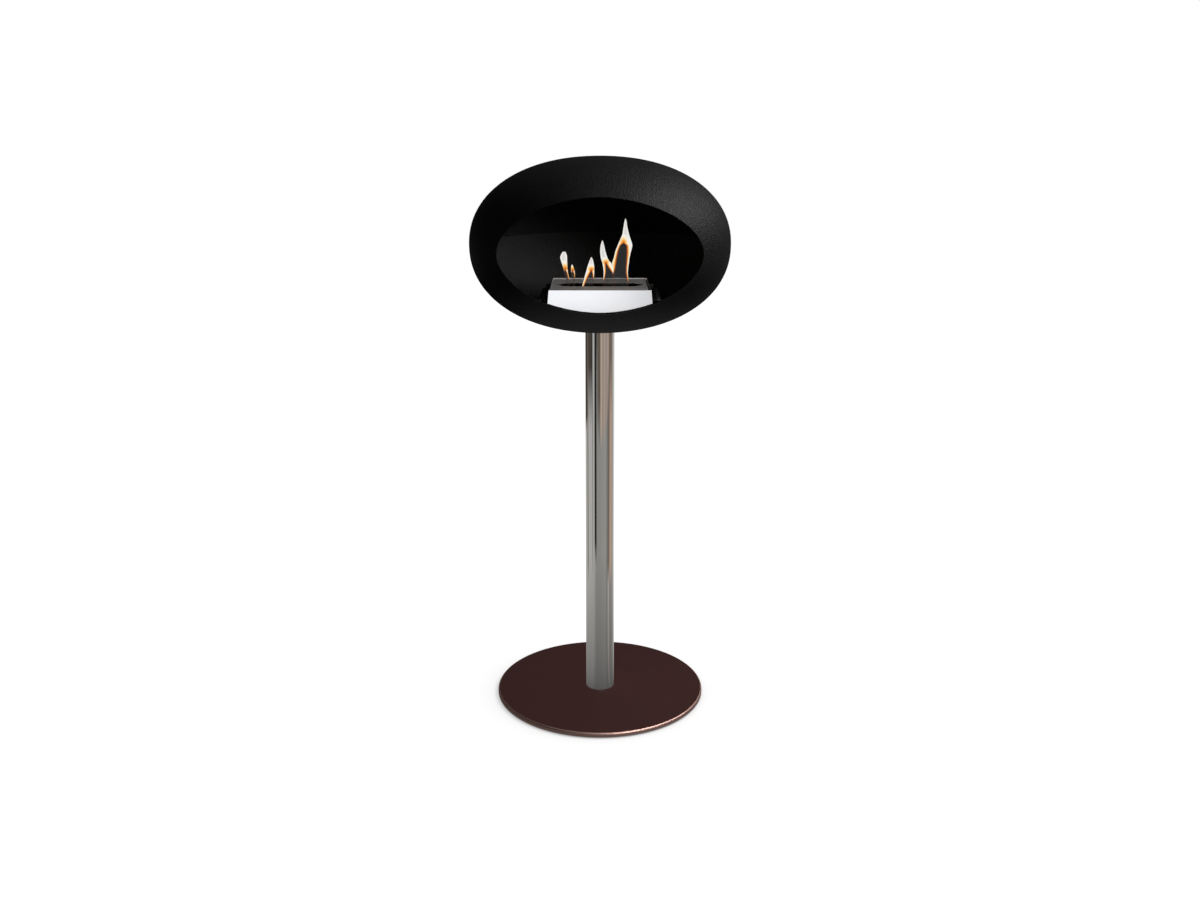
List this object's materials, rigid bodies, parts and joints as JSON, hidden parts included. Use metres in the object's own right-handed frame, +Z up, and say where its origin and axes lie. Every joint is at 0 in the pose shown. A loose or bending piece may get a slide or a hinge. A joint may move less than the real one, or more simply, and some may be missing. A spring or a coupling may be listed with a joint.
{
  "type": "fireplace",
  "caption": "Free-standing ethanol fireplace: a hollow rounded steel dome with an oval mouth and a slide-in burner, on a steel pole and a round foot plate.",
  "frame": {"origin": "on the floor, on the axis of the pole, at the centre of the pad under the foot plate", "axes": "+Z up along the pole, -Y out of the dome's mouth towards the viewer, +X to the right"},
  "size_m": [0.517, 0.4805, 1.1385],
  "materials": {
    "dome_coating": "fine-textured black powder coat",
    "foot_coating": "matte dark brown powder coat",
    "pole_steel": "polished stainless tube",
    "burner_steel": "brushed stainless sheet",
    "bright_steel": "fine-polished stainless plate",
    "plain_steel": "turned steel",
    "zinc": "zinc plated",
    "rubber": "matte",
    "fibre": "mineral fibre blanket"
  },
  "bodies": {
    "stand": {"floor_pad": "rubber", "foot_plate": "foot_coating", "foot_screw": "zinc", "pole_tube": "pole_steel", "pole_foot_plug": "plain_steel", "pole_head_plug": "plain_steel", "dome_gasket": "rubber", "dome_shell": "dome_coating", "heat_shield_bowl": "dome_coating", "clamp_plate": "dome_coating", "spring_washer": "zinc", "dome_screw": "zinc", "burner_rail_left": "dome_coating", "burner_rail_right": "dome_coating"},
    "burner": {"burner_casing": "burner_steel", "burner_front_plate": "bright_steel", "front_plate_nuts": "zinc", "fuel_tank": "burner_steel", "fibre_block": "fibre", "burner_top_plate": "burner_steel", "shutter_guide_left": "burner_steel", "shutter_guide_right": "burner_steel"},
    "shutter": {"shutter": "burner_steel"}
  },
  "joints": [
    {"name": "burner_slide", "type": "slide", "parent": "stand", "child": "burner", "axis": [0, -1, 0], "range_m": [0, 0.15]},
    {"name": "shutter_slide", "type": "slide", "parent": "burner", "child": "shutter", "axis": [0, 1, 0], "range_m": [0, 0.0392]}
  ]
}
